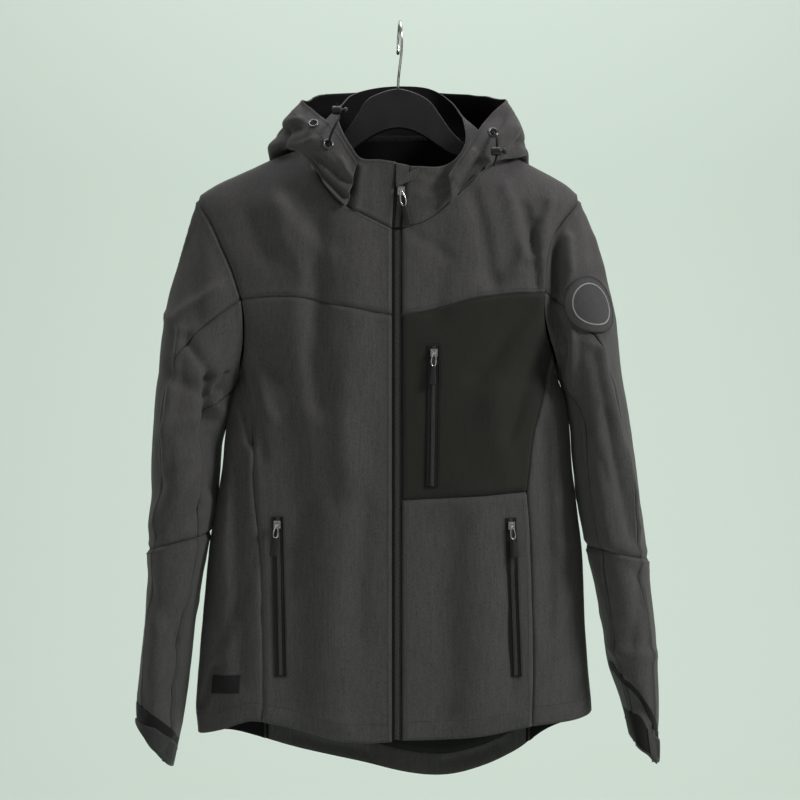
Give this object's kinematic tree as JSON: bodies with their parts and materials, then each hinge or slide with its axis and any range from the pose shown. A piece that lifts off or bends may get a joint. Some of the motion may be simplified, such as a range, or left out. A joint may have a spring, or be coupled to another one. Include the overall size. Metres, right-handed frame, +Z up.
{
  "type": "softshell jacket on a hanger",
  "caption": "Hooded softshell jacket with a full front zip, zipped chest and hand pockets and a contrast chest panel, hung flat on a wire-hook hanger.",
  "frame": {"origin": "centre of the hook's round bend, where the rail runs", "axes": "+X to a viewer's right and the wearer's left, -Y out of the front, +Z up"},
  "size_m": [0.6258, 0.2154, 0.9134],
  "materials": {
    "shell_cloth": "charcoal melange knit-faced softshell, matt",
    "chest_cloth": "olive-black plain softshell, matt",
    "black_cloth": "black tape, lining and trim cloth, matt",
    "black_plastic": "black moulded plastic, satin",
    "bright_metal": "polished nickel plate",
    "eyelet_metal": "dark grey coated brass eyelet"
  },
  "bodies": {
    "root": {"front_yoke_right": "shell_cloth", "front_yoke_left": "shell_cloth", "front_panel_right": "shell_cloth", "chest_panel_left": "chest_cloth", "front_panel_left": "shell_cloth", "back_yoke": "shell_cloth", "back_panel": "shell_cloth", "side_panel_right": "shell_cloth", "side_panel_left": "shell_cloth", "sleeve_upper_front_right": "shell_cloth", "sleeve_upper_back_right": "shell_cloth", "sleeve_lower_front_right": "shell_cloth", "sleeve_lower_back_right": "shell_cloth", "cuff_tab_right": "black_cloth", "sleeve_upper_front_left": "shell_cloth", "sleeve_upper_back_left": "shell_cloth", "sleeve_lower_front_left": "shell_cloth", "sleeve_lower_back_left": "shell_cloth", "cuff_tab_left": "black_cloth", "sleeve_badge": "black_cloth", "hem_label": "black_cloth", "collar_front_right": "shell_cloth", "collar_back": "shell_cloth", "collar_front_left": "shell_cloth", "hood": "shell_cloth", "main_zip": "black_cloth", "collar_zip": "black_cloth", "right_pocket_zip": "black_cloth", "left_pocket_zip": "black_cloth", "chest_pocket_zip": "black_cloth", "main_slider": "bright_metal", "right_slider": "bright_metal", "left_slider": "bright_metal", "chest_slider": "bright_metal", "eyelet_right_upper": "eyelet_metal", "eyelet_right": "eyelet_metal", "eyelet_left": "eyelet_metal", "drawcord_right": "black_cloth", "drawcord_left": "black_cloth", "cord_lock_right": "black_plastic", "cord_lock_left": "black_plastic", "back_hem_facing": "shell_cloth", "back_lining": "black_cloth", "zip_garage": "black_cloth", "hanger": "black_plastic", "hook": "bright_metal"},
    "main_pull": {"main_pull_loop": "bright_metal", "main_pull_tab": "black_plastic"},
    "right_pull": {"right_pull_loop": "bright_metal", "right_pull_tab": "black_plastic"},
    "left_pull": {"left_pull_loop": "bright_metal", "left_pull_tab": "black_plastic"},
    "chest_pull": {"chest_pull_loop": "bright_metal", "chest_pull_tab": "black_plastic"}
  },
  "joints": [
    {"name": "main_pull_hinge", "type": "hinge", "parent": "root", "child": "main_pull", "pos_m": [0.0039, -0.0699, -0.186], "axis": [-0.9801, 0, -0.1987], "range_deg": [0, 140]},
    {"name": "right_pull_hinge", "type": "hinge", "parent": "root", "child": "right_pull", "pos_m": [-0.1424, -0.06197, -0.578], "axis": [-0.9883, 0.0948, 0.1197], "range_deg": [0, 140]},
    {"name": "left_pull_hinge", "type": "hinge", "parent": "root", "child": "left_pull", "pos_m": [0.13403, -0.06467, -0.579], "axis": [-0.9706, -0.2088, -0.1197], "range_deg": [0, 140]},
    {"name": "chest_pull_hinge", "type": "hinge", "parent": "root", "child": "chest_pull", "pos_m": [0.04243, -0.07568, -0.376], "axis": [-0.9981, -0.0369, 0.05], "range_deg": [0, 140]}
  ]
}
